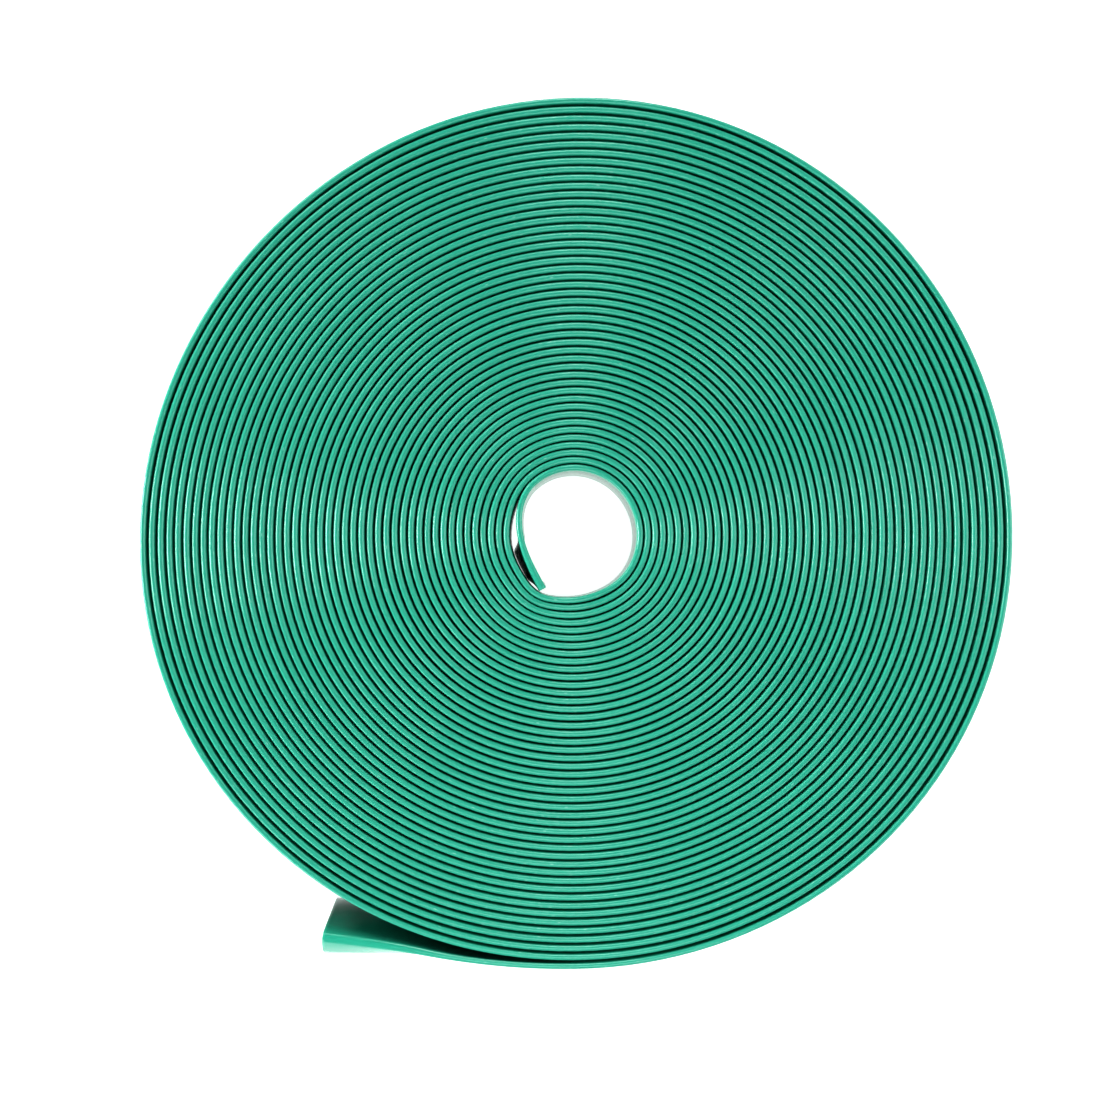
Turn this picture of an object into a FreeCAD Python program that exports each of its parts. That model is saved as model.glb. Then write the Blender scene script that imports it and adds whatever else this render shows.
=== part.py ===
"""Lay-flat soaker hose, wound on edge into one flat spiral coil, both ends bare.

Row frame: the coil lies on its side, with the coil's axis along +Z and the lower creases
of the hose on z = 0. The origin is under the middle of the coil. Lengths are millimetres,
angles are degrees. Seen from above, the hose winds inwards counterclockwise. Its outer end
leaves the coil at -Y and runs towards -X, and its inner end stands free in the hole.
"""

import FreeCAD, Part
import math
import os
import Sketcher
from FreeCAD import Placement, Rotation, Vector

# alias of the cell, its value, what it is
SIZES = [
    ("flat_width", 41.3, "crease to crease of the flattened hose, bore 25, wall 1"),
    ("flat_thickness", 2.05, "two walls of 1 pressed together"),
    ("coil_radius", 123.4, "outer face of the outermost turn, where the outer end leaves"),
    ("outer_pitch", 2.6, "distance between the two outermost turns"),
    ("hole_radius", 19.4, "wall of the hole beside the start of the inner end"),
    ("inner_pitch", 2.1, "distance between the two innermost turns"),
    ("inner_step_angle", 140.0, "where the inner end leaves the coil, turned from +X"),
    ("inner_bend_radius", 11.2, "bend of the inner end after it leaves the coil"),
    ("inner_bend_angle", 61.6, "turn of that bend"),
    ("inner_straight", 16.6, "straight stretch from that bend to the inner tip"),
    ("outer_bend_radius", 247.0, "bend of the outer end after it leaves the coil"),
    ("outer_bend_angle", 9.2, "turn of that bend"),
    ("mouth_length", 31.0, "stretch over which the outer end opens into its mouth"),
    ("mouth_opening", 14.2, "outside of one wall to outside of the other at the mouth"),
    ("mouth_height", 39.0, "crease to crease at the open mouth"),
]
VOLUME_TOLERANCE = 0.001  # share by which a solid may differ from its formula

# Where each vertex of a line or an arc is, and the sketch's own origin and axes.
START, END, CENTRE = 1, 2, 3
ROOT = (-1, 1)
X_AXIS, Y_AXIS = -1, -2

# The pole of the coil's spiral, placed so that the coil's outline is centred on the origin.
POLE_X = "(-3 / 8 * <outer_pitch>)"
POLE_Y = "(<outer_pitch> / 8)"

doc = FreeCAD.newDocument("soaker_hose")
sizes = doc.addObject("Spreadsheet::Sheet", "Sizes")
for row, (alias, value, meaning) in enumerate(SIZES, start=1):
    sizes.set(f"A{row}", alias)
    sizes.set(f"B{row}", str(value))
    sizes.set(f"C{row}", meaning)
    sizes.setAlias(f"B{row}", alias)
doc.recompute()


def size(alias):
    """The value of a cell of the spreadsheet."""
    return float(sizes.get(alias))


def bound(expression):
    """An expression with each alias in it turned into a reference to its cell."""
    for alias, _, _ in SIZES:
        expression = expression.replace(f"<{alias}>", f"Sizes.{alias}")
    return expression


def new_body(name, turned="0", x="0", y="0"):
    """A body whose own frame is turned about the vertical and moved in plan."""
    body = doc.addObject("PartDesign::Body", name)
    body.Label = name
    body.Placement = Placement(Vector(), Rotation(Vector(0, 0, 1), 1))
    body.setExpression("Placement.Rotation.Angle", bound(turned))
    body.setExpression("Placement.Base.x", bound(x))
    body.setExpression("Placement.Base.y", bound(y))
    return body


def new_sketch(body, name, plane):
    """A sketch on one of the body's own origin planes, such as XY_Plane."""
    sketch = body.newObject("Sketcher::SketchObject", name)
    support = next(item for item in body.Origin.OriginFeatures if item.Role == plane)
    sketch.AttachmentSupport = (support, [""])
    sketch.MapMode = "FlatFace"
    return sketch


def new_feature(body, kind, name, profile):
    feature = body.newObject(f"PartDesign::{kind}", name)
    feature.Profile = profile
    return feature


def fix(sketch, kind, *places):
    """A geometric constraint, such as Coincident."""
    sketch.addConstraint(Sketcher.Constraint(kind, *places))


def dimension(sketch, kind, *places, to):
    """A dimension of the sketch, bound to the spreadsheet."""
    expression = bound(to)
    value = float(sketch.evalExpression(expression))
    index = sketch.addConstraint(Sketcher.Constraint(kind, *places, value))
    sketch.setExpression(f"Constraints[{index}]", expression)


def arc(radius, x, y, first, last):
    """An arc in a sketch, counterclockwise between two angles."""
    circle = Part.Circle(Vector(x, y, 0), Vector(0, 0, 1), radius)
    return Part.ArcOfCircle(circle, math.radians(first), math.radians(last))


def line(x1, y1, x2, y2):
    return Part.LineSegment(Vector(x1, y1, 0), Vector(x2, y2, 0))


def spiral_outline(sketch, radius, pitch):
    """One turn of the draughtsman's four-centre spiral, closed by a step one pitch high.

    The first quarter is centred on the sketch's origin and starts straight below it. Each
    quarter's centre has moved by a quarter of the pitch, so each meets the next smoothly.
    """
    outside, quarter = size(radius), size(pitch) / 4
    sketch.addGeometry(arc(outside, 0, 0, -90, 0))
    sketch.addGeometry(arc(outside - quarter, quarter, 0, 0, 90))
    sketch.addGeometry(arc(outside - 2 * quarter, quarter, quarter, 90, 180))
    sketch.addGeometry(arc(outside - 3 * quarter, 0, quarter, 180, 270))
    step = sketch.addGeometry(line(0, 4 * quarter - outside, 0, -outside))
    fix(sketch, "Coincident", 0, CENTRE, *ROOT)
    fix(sketch, "PointOnObject", 0, START, Y_AXIS)
    fix(sketch, "PointOnObject", 0, END, X_AXIS)
    for nth, level in ((1, "Vertical"), (2, "Horizontal"), (3, "Vertical")):
        fix(sketch, "Tangent", nth - 1, END, nth, START)
        fix(sketch, level, nth, END, nth, CENTRE)
    for nth in range(4):
        dimension(sketch, "Radius", nth, to=f"<{radius}> - {nth} * <{pitch}> / 4")
    fix(sketch, "Coincident", step, START, 3, END)
    fix(sketch, "Coincident", step, END, 0, START)


def make_coil():
    """The outer shape of all the turns: a ring whose two walls are spirals with a step."""
    body = new_body("hose_coil", x=POLE_X, y=POLE_Y)
    outside = new_sketch(body, "coil_outline", "XY_Plane")
    spiral_outline(outside, "coil_radius", "outer_pitch")
    disc = new_feature(body, "Pad", "coil_disc", outside)
    disc.setExpression("Length", bound("<flat_width>"))
    hole = new_sketch(body, "hole_outline", "XY_Plane")
    hole.AttachmentOffset = Placement(Vector(), Rotation(Vector(0, 0, 1), 1))
    hole.setExpression("AttachmentOffset.Rotation.Angle", bound("<inner_step_angle> - 270"))
    spiral_outline(hole, "hole_radius", "inner_pitch")
    pocket = new_feature(body, "Pocket", "coil_hole", hole)
    pocket.Type = "ThroughAll"
    pocket.Reversed = True
    return body


def hose_section(body, name, bend, turned):
    """The flattened hose's section, on edge, at the bend's radius from the body's axis.

    The plane of the section is turned about the body's vertical axis.
    """
    sketch = new_sketch(body, name, "XZ_Plane")
    sketch.AttachmentOffset = Placement(Vector(), Rotation(Vector(0, 1, 0), 1))
    sketch.setExpression("AttachmentOffset.Rotation.Angle", bound(turned))
    middle, half = size(bend), size("flat_thickness") / 2
    top = size("flat_width") - half
    inner = sketch.addGeometry(line(middle - half, top, middle - half, half))
    lower = sketch.addGeometry(arc(half, middle, half, 180, 360))
    outer = sketch.addGeometry(line(middle + half, half, middle + half, top))
    upper = sketch.addGeometry(arc(half, middle, top, 0, 180))
    around = (inner, lower, outer, upper)
    for this, following in zip(around, around[1:] + around[:1]):
        fix(sketch, "Tangent", this, END, following, START)
    fix(sketch, "Vertical", inner)
    fix(sketch, "Vertical", outer)
    dimension(sketch, "Radius", lower, to="<flat_thickness> / 2")
    dimension(sketch, "DistanceX", *ROOT, lower, CENTRE, to=f"<{bend}>")
    dimension(sketch, "DistanceY", *ROOT, lower, CENTRE, to="<flat_thickness> / 2")
    dimension(sketch, "Distance", inner, to="<flat_width> - <flat_thickness>")
    return sketch


def bent_end(name, bend, angle, clockwise, **place):
    """An end of the hose as it leaves the coil: its section swept about a vertical axis.

    Returns the body and the section at the far end of the bend.
    """
    body = new_body(name, **place)
    start = hose_section(body, f"{name}_start", bend, "0")
    sweep = new_feature(body, "Revolution", f"{name}_bend", start)
    sweep.ReferenceAxis = (start, ["V_Axis"])
    sweep.Reversed = clockwise
    sweep.setExpression("Angle", bound(f"<{angle}>"))
    sign = "-" if clockwise else ""
    return body, hose_section(body, f"{name}_far", bend, f"{sign}<{angle}>")


def make_inner_end():
    """The free inner end: one bend away from the wall of the hole, then straight."""
    reach = "(<hole_radius> - <inner_pitch> / 2 - <inner_bend_radius>)"
    body, far = bent_end(
        "hose_inner_end",
        "inner_bend_radius",
        "inner_bend_angle",
        clockwise=False,
        turned="<inner_step_angle>",
        x=f"{POLE_X} + {reach} * cos(<inner_step_angle> * 1 deg)",
        y=f"{POLE_Y} + {reach} * sin(<inner_step_angle> * 1 deg)",
    )
    straight = new_feature(body, "Pad", "inner_straight", far)
    straight.setExpression("Length", bound("<inner_straight>"))
    straight.Reversed = True
    return body


def mouth_section(body):
    """The open mouth: two bowed walls between two creases, standing on the ground."""
    sketch = new_sketch(body, "mouth", "XZ_Plane")
    sketch.AttachmentOffset = Placement(Vector(), Rotation(Vector(0, 1, 0), 1))
    sketch.setExpression("AttachmentOffset.Rotation.Angle", bound("-<outer_bend_angle>"))
    turn = "(<outer_bend_angle> * 1 deg)"
    sketch.setExpression("AttachmentOffset.Base.x", bound(f"-<mouth_length> * sin{turn}"))
    sketch.setExpression("AttachmentOffset.Base.z", bound(f"<mouth_length> * cos{turn}"))
    middle, half = size("outer_bend_radius"), size("flat_thickness") / 2
    top = size("mouth_height") - half
    level = size("mouth_height") / 2
    bow = size("mouth_opening") / 2 - half
    radius = ((top - half) ** 2 / 4 + bow**2) / (2 * bow)
    spread = math.degrees(math.asin((top - half) / 2 / radius))
    offset = half + bow - radius
    inner = sketch.addGeometry(arc(radius, middle - offset, level, 180 - spread, 180 + spread))
    lower = sketch.addGeometry(arc(half, middle, half, 180, 360))
    outer = sketch.addGeometry(arc(radius, middle + offset, level, -spread, spread))
    upper = sketch.addGeometry(arc(half, middle, top, 0, 180))
    around = (inner, lower, outer, upper)
    for this, following in zip(around, around[1:] + around[:1]):
        fix(sketch, "Coincident", this, END, following, START)
    for crease in (lower, upper):
        fix(sketch, "Horizontal", crease, START, crease, CENTRE)
        fix(sketch, "Horizontal", crease, START, crease, END)
    fix(sketch, "Vertical", upper, START, lower, END)
    fix(sketch, "Vertical", upper, END, lower, START)
    dimension(sketch, "Radius", lower, to="<flat_thickness> / 2")
    dimension(sketch, "DistanceX", *ROOT, lower, CENTRE, to="<outer_bend_radius>")
    dimension(sketch, "DistanceY", *ROOT, lower, CENTRE, to="<flat_thickness> / 2")
    dimension(sketch, "DistanceY", *ROOT, upper, CENTRE, to="<mouth_height> - <flat_thickness> / 2")
    bow_text = "(<mouth_opening> - <flat_thickness>) / 2"
    chord_text = "(<mouth_height> - <flat_thickness>)"
    for side in (inner, outer):
        to = f"({chord_text}^2 / 4 + ({bow_text})^2) / (2 * {bow_text})"
        dimension(sketch, "Radius", side, to=to)
    return sketch


def make_outer_end():
    """The free outer end: a gentle bend away from the coil, then the opening mouth."""
    body, far = bent_end(
        "hose_outer_end",
        "outer_bend_radius",
        "outer_bend_angle",
        clockwise=True,
        turned="-90",
        x=POLE_X,
        y=f"{POLE_Y} - <coil_radius> + <flat_thickness> / 2 + <outer_bend_radius>",
    )
    mouth = new_feature(body, "AdditiveLoft", "outer_mouth", far)
    mouth.Sections = [(mouth_section(body), [""])]
    mouth.Ruled = True
    return body


def section_area():
    """Area of the flattened hose's section: a rectangle with rounded creases."""
    thickness = size("flat_thickness")
    return (size("flat_width") - thickness) * thickness + math.pi * thickness**2 / 4


def check(bodies):
    """Stop if any object has failed or any solid isn't the solid that was meant."""
    for item in doc.Objects:
        if {"Invalid", "Error"} & set(item.State):
            raise RuntimeError(f"{item.Name} failed: {item.State}")
    for sketch in doc.findObjects("Sketcher::SketchObject"):
        if sketch.solve() != 0 or sketch.FullyConstrained is False:
            raise RuntimeError(f"{sketch.Name} isn't fully constrained")
    for body in bodies:
        shape = body.Shape
        if shape.isNull() or not shape.isValid() or len(shape.Solids) != 1:
            raise RuntimeError(f"{body.Label} isn't one valid solid")


def check_volume(body, expected):
    share = abs(body.Shape.Volume / expected - 1)
    print(f"{body.Label}: {body.Shape.Volume:.0f} mm3, formula {expected:.0f} mm3")
    if share > VOLUME_TOLERANCE:
        raise RuntimeError(f"{body.Label} differs from its formula by {share:.1%}")


coil = make_coil()
inner_end = make_inner_end()
outer_end = make_outer_end()
doc.recompute()
check([coil, inner_end, outer_end])

bend_length = size("inner_bend_radius") * math.radians(size("inner_bend_angle"))
check_volume(inner_end, section_area() * (bend_length + size("inner_straight")))

os.makedirs("parts", exist_ok=True)
for body in (coil, inner_end, outer_end):
    body.Shape.exportStep(f"parts/{body.Label}.step")
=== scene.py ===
"""Looks of the lay-flat hose, wound on edge into one flat spiral coil.

One hose, swept along its whole route: from the open mouth of its outer end, round the coil's
turns and out into the hole, where its inner end stands free. The route is plane, the hose
stands on edge on it, and every section is one closed curve of two walls and two creases.
Lengths are metres, and MM makes them from millimetres. Angles are degrees, counterclockwise
from +X seen from above.
"""

import math

import bpy
import numpy as np
from mathutils import Matrix, Vector


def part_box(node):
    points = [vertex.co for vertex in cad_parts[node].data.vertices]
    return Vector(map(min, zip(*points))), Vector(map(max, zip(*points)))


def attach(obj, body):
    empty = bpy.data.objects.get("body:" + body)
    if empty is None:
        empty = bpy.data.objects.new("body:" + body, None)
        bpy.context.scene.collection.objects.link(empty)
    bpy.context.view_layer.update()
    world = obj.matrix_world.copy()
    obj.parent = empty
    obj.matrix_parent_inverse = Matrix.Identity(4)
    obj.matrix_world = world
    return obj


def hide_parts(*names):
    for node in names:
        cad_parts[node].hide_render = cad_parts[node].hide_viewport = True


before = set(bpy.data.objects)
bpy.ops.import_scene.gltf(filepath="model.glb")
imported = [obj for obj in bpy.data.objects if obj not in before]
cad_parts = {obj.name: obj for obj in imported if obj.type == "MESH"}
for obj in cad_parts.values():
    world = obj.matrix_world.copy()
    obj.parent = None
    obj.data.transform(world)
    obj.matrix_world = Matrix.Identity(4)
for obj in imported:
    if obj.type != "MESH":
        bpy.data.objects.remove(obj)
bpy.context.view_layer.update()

MM = 0.001
TURN = 360.0

# The hose: two walls between two creases, flattened until it leaves the coil.
coil_low, coil_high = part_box("hose_coil")
FLAT_WIDTH = coil_high.z
FLAT_THICKNESS = 2.05 * MM
WALL = 1.0 * MM
COIL_CREASE = 0.87 * MM  # radius of the two pressed creases in the coil
COIL_BOW = 2.28 * MM  # thickness of the bowed walls between them, where the pitch leaves room
SQUEEZE_GAP = 0.07 * MM  # least air between two turns, which squeeze each other to keep it

# The coil: a spiral about its pole, looser in its outer turns and tighter in its inner ones.
OUTER_PITCH = 2.6 * MM
INNER_PITCH = 2.1 * MM
POLE = np.array(
    [
        (coil_low.x + coil_high.x) / 2 - 3 / 8 * OUTER_PITCH,
        (coil_low.y + coil_high.y) / 2 + OUTER_PITCH / 8,
    ]
)
FIRST_ANGLE = 270.0  # where the outer end leaves the coil
LAST_ANGLE = 130.0  # where the inner end leaves it
TURNS = 45 + (LAST_ANGLE + TURN - FIRST_ANGLE) / TURN
START_RADIUS = 122.3 * MM
LAST_RADIUS = 18.0 * MM
LOOSE_TURNS = 4.0  # turns over which the outer turns lose their extra pitch
TIGHT_TURNS = TURNS / 3  # the pitch narrows steadily over the inner third
PITCH = (START_RADIUS - LAST_RADIUS - INNER_PITCH * TIGHT_TURNS / 2) / (TURNS - TIGHT_TURNS / 2)
# The coil is a little out of round: oval and three-cornered outside, which fades inwards, and
# oval the other way inside. Each value is how far it bulges, and towards which angle.
OVAL, OVAL_ANGLE = 0.8 * MM, 30.0
CORNERS, CORNERS_ANGLE = 0.6 * MM, 85.0
INNER_OVAL, INNER_OVAL_ANGLE = 0.25 * MM, 115.0
# The tip of the inner end pushes the inner turns out, and on both sides of it they sag into
# the hole. Heights are those of the last turn but one, and widths are degrees.
TIP_PUSH, TIP_ANGLE, PUSH_WIDTH = 1.0 * MM, 238.0, 12.0
SAG, SAG_ANGLES, SAG_WIDTH = 0.5 * MM, (165.0, 290.0), 18.0
PUSHED_TURNS = 5.0  # turns over which the push and the sags fade outwards
RING_SAG = 0.025 * MM  # how far the straight line between two rings cuts inside the curve

# The outer end: how it turns away from the coil, and how it opens.
OUTER_END = 72.0 * MM
MOUTH_LENGTH = 48.0 * MM
MOUTH_OPENING = 17.4 * MM  # if both walls were bowed alike
MOUTH_FLATNESS = 0.85  # how much of its bow the wall beside the coil lacks
MOUTH_LEAN = -5.0 * MM  # how far out its lower crease is from the upper one: negative is inwards
MOUTH_CREASE = 1.9 * MM  # radius of the two relaxed creases at the mouth
MOUTH_CUT_BACK = 0.4 * MM  # how far the cut falls back on the wall beside the coil

# The inner end: it turns into the hole, and straightens towards its tip.
INNER_END = 32.6 * MM
INNER_TURN = 74.0
TIP_WIDENING = 0.5 * MM  # how much its two lips stand apart
TIP_CUT_BACK = 1.2 * MM  # how far the cut falls back at the lower crease
CREASE_GAP = 0.02 * MM  # least air between its lower crease and the turn that it leans on
TIP_STANDS_OFF = 0.5 * MM  # how much less the last few millimetres lean


def make_camera():
    """Looks down on the coil from nearly over its middle."""
    data = bpy.data.cameras.new("camera")
    data.lens_unit = "FOV"
    data.angle = math.radians(27.0)
    camera = bpy.data.objects.new("camera", data)
    bpy.context.scene.collection.objects.link(camera)
    eye = Vector((POLE[0] - 6.6 * MM, POLE[1] - 11.5 * MM, FLAT_WIDTH + 647 * MM))
    target = Vector((POLE[0] - 6.9 * MM, POLE[1] - 5.0 * MM, FLAT_WIDTH))
    backward = (eye - target).normalized()
    right = Vector((0, 1, 0)).cross(backward).normalized()
    upright = Matrix((right, backward.cross(right), backward)).transposed()
    camera.matrix_world = Matrix.LocRotScale(eye, upright, None)
    bpy.context.scene.camera = camera


def smooth(x, low, high):
    """0 below low and 1 above high, with a smooth step between."""
    t = np.clip((x - low) / (high - low), 0, 1)
    return t * t * (3 - 2 * t)


def bump(x, width):
    return np.exp(-0.5 * (x / width) ** 2)


def away(angle, place):
    """Signed degrees from place to angle, the short way."""
    return (angle - place + TURN / 2) % TURN - TURN / 2


def coil_radius(turn):
    """Radius of the hose's middle about the pole, turn being counted from the outer end."""
    angle = FIRST_ANGLE + turn * TURN
    radius = START_RADIUS - PITCH * turn
    radius = radius + (OUTER_PITCH - PITCH) * LOOSE_TURNS * np.exp(-turn / LOOSE_TURNS)
    tight = np.clip(turn - (TURNS - TIGHT_TURNS), 0, None)
    radius = radius + (PITCH - INNER_PITCH) * tight**2 / (2 * TIGHT_TURNS)
    inward = np.clip(turn / TURNS, 0, 1)
    outward = 1 - inward
    radius = radius + outward * OVAL * np.cos(np.radians(2 * (angle - OVAL_ANGLE)))
    radius = radius + outward * CORNERS * np.cos(np.radians(3 * (angle - CORNERS_ANGLE)))
    radius = radius + inward * INNER_OVAL * np.cos(np.radians(2 * (angle - INNER_OVAL_ANGLE)))
    dent = TIP_PUSH * bump(away(angle, TIP_ANGLE), PUSH_WIDTH)
    for place in SAG_ANGLES:
        dent = dent - SAG * bump(away(angle, place), SAG_WIDTH)
    return radius + dent * np.exp((turn - 44) / PUSHED_TURNS)


def on_spiral(turn):
    angle = np.radians(FIRST_ANGLE + turn * TURN)
    radius = coil_radius(turn)
    return POLE + np.stack([radius * np.cos(angle), radius * np.sin(angle)], -1)


def coil_turns():
    """Places of the rings along the coil, closer where the turns are smaller."""
    turns = [0.0]
    while turns[-1] < TURNS:
        radius = float(coil_radius(np.float64(turns[-1])))
        chord = math.sqrt(8 * RING_SAG * radius)
        turns.append(turns[-1] + chord / (2 * math.pi * radius))
    turns[-1] = TURNS
    return np.array(turns)


def coil_thickness(turns):
    """The hose's thickness in the coil, less where a neighbouring turn is close."""
    middle = coil_radius(turns)
    inside = middle - coil_radius(turns + 1)
    outside = np.where(turns >= 1, coil_radius(turns - 1) - middle, 1.0)
    inside = np.where(turns + 1 <= TURNS, inside, 1.0)
    space = np.minimum(inside, outside) - SQUEEZE_GAP
    return np.minimum(COIL_BOW, space)


def walk(start, heading, bends, step):
    """Points from start, a run of steps whose heading turns by bends, degrees per metre."""
    points, headings = [np.array(start)], [heading]
    for bend in bends:
        middle = math.radians(headings[-1] + bend * step / 2)
        points.append(points[-1] + step * np.array([math.cos(middle), math.sin(middle)]))
        headings.append(headings[-1] + bend * step)
    return np.array(points[1:])


def outer_route():
    """The outer end from its mouth to the coil."""
    step = 1.0 * MM
    count = round(OUTER_END / step)
    first, second = on_spiral(np.array([0.0, 0.0005]))
    heading = math.degrees(math.atan2(*(first - second)[::-1]))
    run = (np.arange(count) + 0.5) * step
    radius = 206 * MM
    bends = -np.degrees(1 / radius) * (1 - smooth(run, 38 * MM, 46 * MM))
    bends += 6.0 / (12 * MM) * bump(run - 49 * MM, 4 * MM)
    return walk(first, heading, bends, step)[::-1]


def inner_route():
    """The inner end from the coil to its tip."""
    step = 0.6 * MM
    count = round(INNER_END / step)
    second, first = on_spiral(np.array([TURNS - 0.0005, TURNS]))
    heading = math.degrees(math.atan2(*(first - second)[::-1]))
    left = 1 - (np.arange(count) + 0.5) / count
    bends = INNER_TURN / INNER_END * 2.24 * left**1.24
    return walk(first, heading, bends, step)


def section(opening, height, crease, inset=0.0, fine=1):
    """One closed curve round the hose: (out, up) from its middle, for arrays of sizes.

    Each wall is an arc that meets both creases smoothly, and inset draws the curve that lies
    so far inside it. The curve runs from the upper crease's middle down the outer wall.
    """
    opening, height, crease = (np.atleast_1d(x)[:, None] for x in (opening, height, crease))
    lean = 2 * np.arctan((opening / 2 - crease) / (height / 2 - crease))
    lean = np.maximum(lean, 1e-4)
    reach = (height / 2 - crease) / np.sin(lean)
    in_crease, in_wall = 3 * fine, 2 * fine
    turn = np.linspace(0, 1, in_crease + 1)[None]
    across = np.linspace(1, -1, in_wall + 1)[None]
    radius = crease - inset
    corner = math.pi / 2 - (math.pi / 2 - lean) * turn
    crease_out, crease_up = radius * np.cos(corner), radius * np.sin(corner)
    wall_out = radius * np.cos(lean * across) + reach * (np.cos(lean * across) - np.cos(lean))
    wall_up = (reach + radius) * np.sin(lean * across)
    centre_up = reach * np.sin(lean)
    out = np.concatenate([crease_out, wall_out[:, 1:], crease_out[:, -2::-1]], 1)
    up = np.concatenate(
        [crease_up + centre_up, wall_up[:, 1:], -(crease_up + centre_up)[:, -2::-1]], 1
    )
    out = np.concatenate([out, -out[:, -2:0:-1]], 1)
    up = np.concatenate([up, up[:, -2:0:-1]], 1)
    return out, up


def kept_height(opening, crease):
    """Crease to crease, where the walls keep their length however far they are bowed."""
    wall = (FLAT_WIDTH - FLAT_THICKNESS) + (FLAT_THICKNESS - WALL) * math.pi / 2
    height = np.full_like(opening, FLAT_WIDTH)
    for _ in range(12):
        lean = 2 * np.arctan((opening / 2 - crease) / (height / 2 - crease))
        lean = np.maximum(lean, 1e-4)
        reach = (height / 2 - crease) / np.sin(lean)
        length = 2 * lean * (reach + crease - WALL / 2)
        length = length + 2 * (crease - WALL / 2) * (math.pi / 2 - lean)
        height = height + (wall - length)
    return height


class Rings:
    """The rings of points that the hose's skin is stretched over, in order."""

    def __init__(self):
        self.points, self.lays, self.counts = [], [], []

    def add(self, middle, along, run, out, up, floor=0.0, back=0.0):
        """One ring across the route at middle, whose direction is along."""
        side = np.array([along[1], -along[0]])
        plan = middle + out[:, None] * side + np.reshape(back, (-1, 1)) * along
        height = up - up.min() + floor
        self.points.append(np.column_stack([plan, height]))
        self.lays.append(np.column_stack([np.full(len(out), run), out, up]))
        self.counts.append(len(out))

    def faces(self):
        """Faces between each ring and the next; a ring may have more points than its neighbour."""
        found, start = [], 0
        for count, following in zip(self.counts, self.counts[1:]):
            less = min(count, following)
            in_first, in_second = count // less, following // less
            second = start + count
            for nth in range(less):
                lower = [start + (nth * in_first + k) % count for k in range(in_first + 1)]
                upper = [second + (nth * in_second + k) % following for k in range(in_second + 1)]
                found.append(lower + upper[::-1])
            start = second
        last = start + self.counts[-1]
        found.append(list(range(self.counts[0]))[::-1])
        found.append(list(range(start, last)))
        return found


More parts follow.
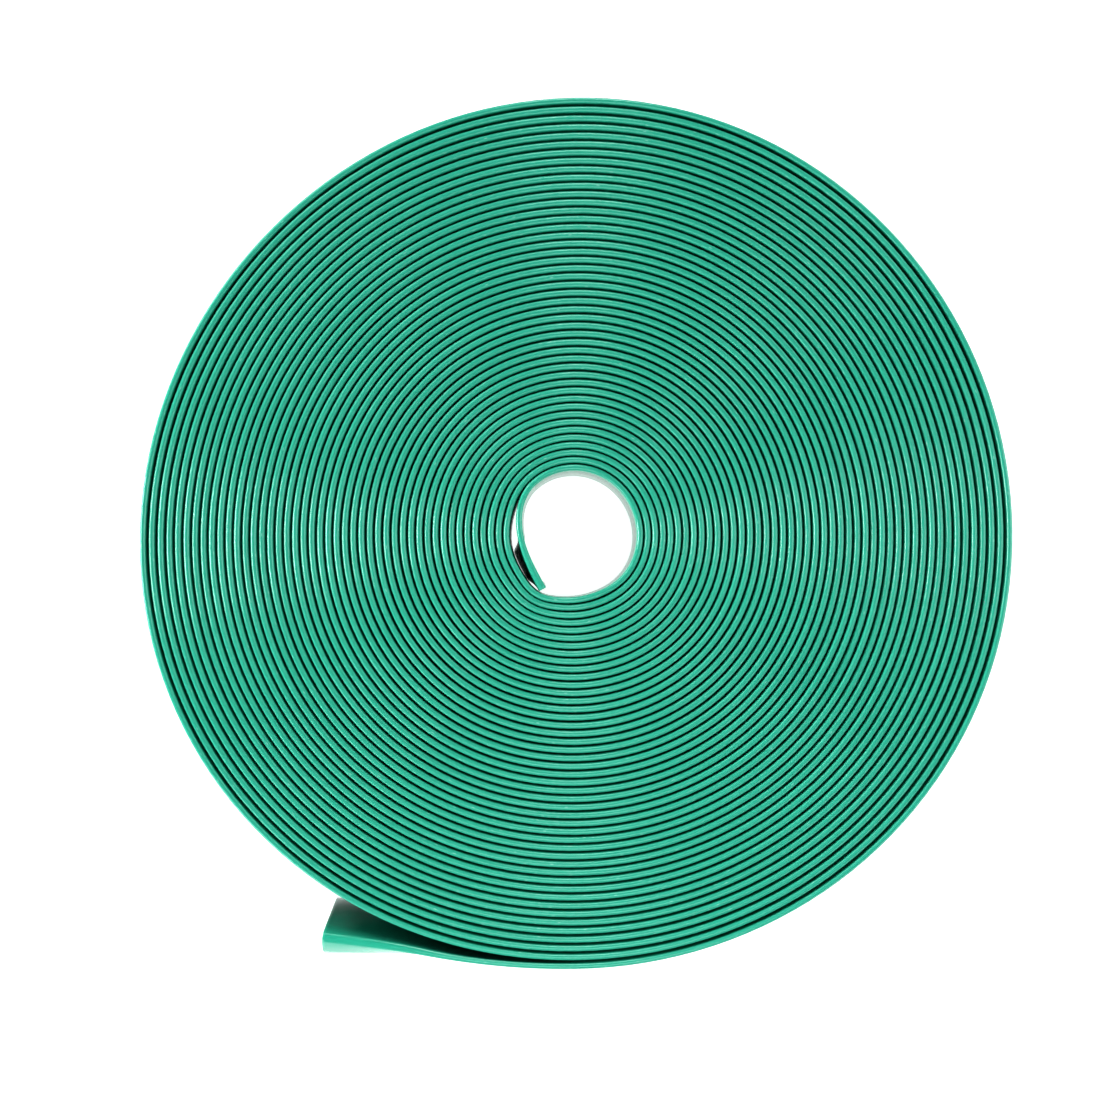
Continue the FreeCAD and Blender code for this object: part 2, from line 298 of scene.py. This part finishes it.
def make_hose():
    """The whole hose as one closed skin, and its length."""
    outer = outer_route()
    turns = coil_turns()
    coil = on_spiral(turns)
    inner = inner_route()
    route = np.concatenate([outer, coil, inner])
    steps = np.linalg.norm(np.diff(route, axis=0), axis=1)
    run = np.concatenate([[0.0], np.cumsum(steps)])
    along = np.gradient(route, axis=0)
    along /= np.linalg.norm(along, axis=1)[:, None]
    length = run[-1]

    thickness = np.full(len(route), FLAT_THICKNESS)
    in_coil = slice(len(outer), len(outer) + len(coil))
    thickness[in_coil] = coil_thickness(turns)
    open_share = 1 - smooth(run, 0.0, MOUTH_LENGTH) ** 0.8
    tip_share = smooth(length - run, 16 * MM, 0.0)
    opening = thickness + (MOUTH_OPENING - FLAT_THICKNESS) * open_share + TIP_WIDENING * tip_share
    crease = COIL_CREASE + (MOUTH_CREASE - COIL_CREASE) * open_share ** 1.2
    crease = crease + TIP_WIDENING / 2 * tip_share
    height = kept_height(0.85 * opening + 0.15 * thickness, crease)
    # Both free ends lean: the mouth's lower crease towards the coil, and the inner end's
    # outwards, until it meets the turn beside it.
    lean = MOUTH_LEAN * open_share
    first = len(outer) + len(coil)
    middle = np.linalg.norm(route[first:] - POLE, axis=1)
    angle = np.degrees(np.arctan2(*(route[first:] - POLE).T[::-1])) % TURN
    beside = coil_radius(44 + (angle - FIRST_ANGLE + TURN) / TURN) - FLAT_THICKNESS
    reach = beside - middle + FLAT_THICKNESS - 2 * COIL_CREASE - CREASE_GAP
    reach = reach - TIP_WIDENING / 2 * tip_share[first:]
    reach = reach - TIP_STANDS_OFF * smooth(length - run[first:], 4 * MM, 0)
    lean[first:] = np.clip(reach, 0, None) * smooth(angle, 184, 196)
    # The turns of the coil stand a little higher and lower than each other.
    lift = 0.10 * np.sin(run / 0.061) + 0.07 * np.sin(run / 0.0243 + 1) + 0.05 * np.sin(run / 0.0112)
    lift = 0.7 * MM * (0.22 + lift) * smooth(run, OUTER_END, OUTER_END + 0.1)

    rings = Rings()

    def ring(i, inset=0.0, back=0.0, fine=1):
        out, up = section(opening[i], height[i], crease[i], inset, 3)
        out, up = out[0][:: 3 // fine], up[0][:: 3 // fine]
        cut = 0.0
        if i < len(outer):
            cut = MOUTH_CUT_BACK * np.clip(-out / (MOUTH_OPENING / 2), 0, 1)
            cut = cut * (1 - smooth(run[i], 0, 12 * MM))
            bow = np.clip(-out - (crease[i] - inset), 0, None)
            out = out + MOUTH_FLATNESS * open_share[i] ** 0.5 * bow
        if i >= first:
            cut = -TIP_CUT_BACK * np.clip(0.5 - up / height[i], 0, 1) ** 1.5
            cut = cut * (1 - smooth(length - run[i], 0, 5 * MM))
        out = out + lean[i] * (0.5 - up / height[i])
        floor = lift[i] + inset
        rings.add(route[i], along[i], run[i] + back, out, up, floor=floor, back=cut + back)

    bevel = 0.12 * MM
    closed = int(np.searchsorted(run, 0.6 * MOUTH_LENGTH))
    for i in range(closed, 0, -1):
        ring(i, WALL, 0.0, 3)
    ring(0, WALL, bevel, 3)
    ring(0, WALL - bevel, 0.0, 3)
    ring(0, bevel, 0.0, 3)
    ring(0, 0.0, bevel, 3)
    for i in range(1, len(route) - 1):
        ring(i, 0.0, 0.0, 1 if in_coil.start <= i < in_coil.stop else 3)
    tip = len(route) - 1
    ring(tip, 0.0, -bevel, 3)
    ring(tip, bevel, 0.0, 3)
    ring(tip, WALL - bevel, 0.0, 3)
    ring(tip, WALL, -bevel, 3)
    for i in range(tip - 1, tip - 8, -1):
        ring(i, WALL, 0.0, 3)

    mesh = bpy.data.meshes.new("hose")
    mesh.from_pydata(np.concatenate(rings.points).tolist(), [], rings.faces())
    lay = mesh.attributes.new("lay", "FLOAT_VECTOR", "POINT")
    lay.data.foreach_set("vector", np.concatenate(rings.lays).astype(np.float32).ravel())
    mesh.polygons.foreach_set("use_smooth", [True] * len(mesh.polygons))
    mesh.update()
    hose = bpy.data.objects.new("hose", mesh)
    bpy.context.scene.collection.objects.link(hose)
    return hose, length


class Nodes:
    """Short names for the nodes of a material."""

    def __init__(self, material):
        material.use_nodes = True
        self.tree = material.node_tree
        self.shader = self.tree.nodes["Principled BSDF"]

    def put(self, socket, value):
        if isinstance(value, bpy.types.NodeSocket):
            self.tree.links.new(value, socket)
        else:
            socket.default_value = value

    def math(self, operation, first, second=0.0):
        node = self.tree.nodes.new("ShaderNodeMath")
        node.operation = operation
        self.put(node.inputs[0], first)
        self.put(node.inputs[1], second)
        return node.outputs[0]

    def stretched(self, vector, along, across):
        node = self.tree.nodes.new("ShaderNodeVectorMath")
        node.operation = "MULTIPLY"
        self.put(node.inputs[0], vector)
        self.put(node.inputs[1], (along, across, across))
        return node.outputs[0]

    def noise(self, vector, along, across, detail=2.0):
        node = self.tree.nodes.new("ShaderNodeTexNoise")
        node.inputs["Scale"].default_value = 1.0
        node.inputs["Detail"].default_value = detail
        self.put(node.inputs["Vector"], self.stretched(vector, along, across))
        return node.outputs[0]

    def cells(self, vector, along, across):
        """Distance to the nearest of a cloud of points, and a random value for each."""
        node = self.tree.nodes.new("ShaderNodeTexVoronoi")
        node.inputs["Scale"].default_value = 1.0
        self.put(node.inputs["Vector"], self.stretched(vector, along, across))
        return node.outputs["Distance"], node.outputs["Color"]

    def step(self, value, low, high):
        node = self.tree.nodes.new("ShaderNodeMapRange")
        node.interpolation_type = "SMOOTHSTEP"
        self.put(node.inputs["Value"], value)
        node.inputs["From Min"].default_value = low
        node.inputs["From Max"].default_value = high
        return node.outputs[0]

    def mix(self, share, first, second):
        node = self.tree.nodes.new("ShaderNodeMix")
        node.data_type = "RGBA"
        self.put(node.inputs["Factor"], share)
        self.put(node.inputs["A"], first)
        self.put(node.inputs["B"], second)
        return node.outputs["Result"]


DEEP_GREEN, BRIGHT_GREEN = (0.019, 0.295, 0.200, 1), (0.034, 0.425, 0.292, 1)
WORN_GREEN, FLECK_GREEN = (0.16, 0.60, 0.47, 1), (0.36, 0.72, 0.62, 1)
# Painted shade: the dark greens that the colour is darkened towards where little sky reaches, behind
# the outer end and in the gaps between turns.
WEDGE_SHADE_GREEN, GAP_SHADE_GREEN = (0.002, 0.05, 0.035, 1), (0.004, 0.26, 0.165, 1)
CREST_FROM, CREST_TO = 19.9 * MM, 20.7 * MM  # heights from the hose's middle where creases are
SHELTER_REACH = 36 * MM
# Painted shade: the tail is darkened as if it saw this much less open sky than it does.
WEDGE_EXTRA_SHADE = 0.15  # how much less open the tail is taken to be than it is
ROUGHNESS, GRAIN_ROUGHNESS = 0.13, 0.16


def pvc():
    """Satin green PVC, drawn out along the hose, with pale flecks and worn creases.

    Its colour is darkened with painted shade where little of the sky is seen: in the gaps, and
    behind the outer end.
    """
    material = bpy.data.materials.new("green_pvc")
    kit = Nodes(material)
    lay = kit.tree.nodes.new("ShaderNodeAttribute")
    lay.attribute_name = "lay"
    place = lay.outputs["Vector"]
    streaks = kit.noise(place, 9, 2600, 3)
    clouds = kit.noise(place, 24, 200)
    grain = kit.noise(place, 900, 2600)
    tone = kit.math("MULTIPLY_ADD", streaks, 0.7)
    tone.node.inputs[2].default_value = -0.05
    tone = kit.math("ADD", tone, kit.math("MULTIPLY", clouds, 0.4))
    colour = kit.mix(tone, DEEP_GREEN, BRIGHT_GREEN)
    parts = kit.tree.nodes.new("ShaderNodeSeparateXYZ")
    kit.put(parts.inputs[0], place)
    crest = kit.step(kit.math("ABSOLUTE", parts.outputs["Z"]), CREST_FROM, CREST_TO)
    worn = kit.math("MULTIPLY", crest, kit.step(grain, 0.45, 0.75))
    colour = kit.mix(kit.math("MULTIPLY", worn, 0.10), colour, WORN_GREEN)
    distance, chance = kit.cells(place, 420, 1700)
    fleck = kit.math("MULTIPLY", crest, kit.math("SUBTRACT", 1.0, kit.step(distance, 0.12, 0.3)))
    fleck = kit.math("MULTIPLY", fleck, kit.step(chance, 0.80, 0.84))
    colour = kit.mix(kit.math("MULTIPLY", fleck, 0.4), colour, FLECK_GREEN)
    # Painted shade: ambient occlusion darkens the colour towards the dark greens in the gaps and,
    # more strongly, in the wedge behind the outer end.
    shelter = kit.tree.nodes.new("ShaderNodeAmbientOcclusion")
    shelter.samples = 4
    shelter.inputs["Distance"].default_value = SHELTER_REACH
    in_coil = kit.step(parts.outputs["X"], 55 * MM, 85 * MM)
    dark = kit.mix(in_coil, WEDGE_SHADE_GREEN, GAP_SHADE_GREEN)
    wedge = kit.math("MULTIPLY", kit.math("SUBTRACT", 1.0, in_coil), WEDGE_EXTRA_SHADE)
    shade = kit.step(kit.math("SUBTRACT", shelter.outputs["AO"], wedge), 0.03, 0.65)
    colour = kit.mix(shade, dark, colour)
    kit.put(kit.shader.inputs["Base Color"], colour)
    rough = kit.math("MULTIPLY_ADD", grain, GRAIN_ROUGHNESS)
    rough.node.inputs[2].default_value = ROUGHNESS
    kit.put(kit.shader.inputs["Roughness"], rough)
    relief = kit.tree.nodes.new("ShaderNodeBump")
    relief.inputs["Strength"].default_value = 0.5
    relief.inputs["Distance"].default_value = 0.03 * MM
    kit.put(relief.inputs["Height"], kit.math("ADD", grain, kit.math("MULTIPLY", streaks, 1.2)))
    kit.put(kit.shader.inputs["Normal"], relief.outputs["Normal"])
    return material


# The floor glows outside the coil and in its hole, so that it stays white beside the hose.
# Under the coil's outer turns it neither glows nor is so pale, a painted shadow that fades out round
# the coil's foot.
FLOOR_GLOW = 0.85
HOLE_GLOW_RADIUS = 60 * MM
# Painted shadow: between these radii the glow and the paler grey fade in round the coil's foot.
GLOW_STARTS, GLOW_IS_FULL = 124 * MM, 131 * MM
FLOOR_HALF = 6.0
UNDER_COIL_SHADOW_GREY, FLOOR_GREY = 0.4, 0.6


def grey(value):
    return (value, value, value, 1)


def make_stage():
    """A pale floor that glows outside the coil and in its hole, but not under the coil, where it is
    painted a darker grey: a painted shadow that fades out round the coil's foot.
    """
    mesh = bpy.data.meshes.new("floor")
    half = FLOOR_HALF
    mesh.from_pydata(
        [(-half, -half, 0), (half, -half, 0), (half, half, 0), (-half, half, 0)],
        [],
        [(0, 1, 2, 3)],
    )
    floor = bpy.data.objects.new("floor", mesh)
    bpy.context.scene.collection.objects.link(floor)
    material = bpy.data.materials.new("pale_floor")
    material.use_nodes = True
    nodes, links = material.node_tree.nodes, material.node_tree.links
    shader = nodes["Principled BSDF"]
    shader.inputs["Roughness"].default_value = 0.9
    shader.inputs["Emission Color"].default_value = (1, 1, 1, 1)
    place = nodes.new("ShaderNodeTexCoord")
    from_middle = nodes.new("ShaderNodeVectorMath")
    from_middle.operation = "LENGTH"
    glow = nodes.new("ShaderNodeMapRange")
    glow.interpolation_type = "SMOOTHSTEP"
    glow.inputs["From Min"].default_value = GLOW_STARTS
    glow.inputs["From Max"].default_value = GLOW_IS_FULL
    glow.inputs["To Min"].default_value = 0.0
    glow.inputs["To Max"].default_value = FLOOR_GLOW
    in_hole = nodes.new("ShaderNodeMath")
    in_hole.operation = "LESS_THAN"
    in_hole.inputs[1].default_value = HOLE_GLOW_RADIUS
    either = nodes.new("ShaderNodeMath")
    either.operation = "MAXIMUM"
    links.new(place.outputs["Object"], from_middle.inputs[0])
    links.new(from_middle.outputs["Value"], glow.inputs["Value"])
    links.new(from_middle.outputs["Value"], in_hole.inputs[0])
    links.new(glow.outputs["Result"], either.inputs[0])
    links.new(in_hole.outputs["Value"], either.inputs[1])
    links.new(either.outputs["Value"], shader.inputs["Emission Strength"])
    paint = nodes.new("ShaderNodeMix")
    paint.data_type = "RGBA"
    paint.inputs["A"].default_value = grey(UNDER_COIL_SHADOW_GREY)
    paint.inputs["B"].default_value = grey(FLOOR_GREY)
    links.new(either.outputs["Value"], paint.inputs["Factor"])
    links.new(paint.outputs["Result"], shader.inputs["Base Color"])
    mesh.materials.append(material)


# Lamps round the coil: degrees round it, degrees up, metres away, width, watts.
LAMPS = {
    "left": (180, 17, 1.2, 0.5, 16.0),
    "left_front": (225, 15, 1.2, 0.6, 6.0),
    "left_back": (135, 15, 1.2, 0.8, 7.0),
    "back": (90, 27, 1.2, 0.4, 5.0),
    "right_back": (45, 15, 1.2, 0.6, 3.0),
    "right": (0, 15, 1.2, 0.6, 4.0),
    "right_front": (315, 15, 1.2, 0.6, 3.0),
    "over_right": (0, 45, 1.2, 0.9, 5.0),
    "near_front": (270, 55, 0.4, 0.25, 0.6),
}
# Strength of the sky at the horizon and overhead, and the heights between which it fades.
HORIZON, ZENITH = 0.9, 0.05
FADE_STARTS, FADE_ENDS = 0.12, 0.5


def make_lamp(name, round_it, up, distance, width, watts):
    data = bpy.data.lights.new(name, "AREA")
    data.shape = "DISK"
    data.size = width
    data.energy = watts
    lamp = bpy.data.objects.new(name, data)
    turn, rise = math.radians(round_it), math.radians(up)
    away_from = Vector(
        (math.cos(rise) * math.cos(turn), math.cos(rise) * math.sin(turn), math.sin(rise))
    )
    lamp.location = distance * away_from
    lamp.rotation_euler = away_from.to_track_quat("Z", "Y").to_euler()
    bpy.context.scene.collection.objects.link(lamp)


def make_lights():
    for name, sizes in LAMPS.items():
        make_lamp(name, *sizes)
    world = bpy.data.worlds.new("studio")
    world.use_nodes = True
    nodes, links = world.node_tree.nodes, world.node_tree.links
    place = nodes.new("ShaderNodeTexCoord")
    parts = nodes.new("ShaderNodeSeparateXYZ")
    fall = nodes.new("ShaderNodeMapRange")
    fall.interpolation_type = "SMOOTHSTEP"
    fall.inputs["From Min"].default_value = FADE_STARTS
    fall.inputs["From Max"].default_value = FADE_ENDS
    fall.inputs["To Min"].default_value = HORIZON
    fall.inputs["To Max"].default_value = ZENITH
    links.new(place.outputs["Generated"], parts.inputs[0])
    links.new(parts.outputs["Z"], fall.inputs["Value"])
    links.new(fall.outputs["Result"], nodes["Background"].inputs["Strength"])
    nodes["Background"].inputs["Color"].default_value = (1, 1, 1, 1)
    bpy.context.scene.world = world
    bpy.context.scene.view_settings.view_transform = "Standard"
    bpy.context.scene.view_settings.gamma = 0.85


make_camera()
hose, hose_length = make_hose()
hose.data.materials.append(pvc())
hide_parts("hose_coil", "hose_inner_end", "hose_outer_end")
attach(hose, "root")
make_stage()
make_lights()
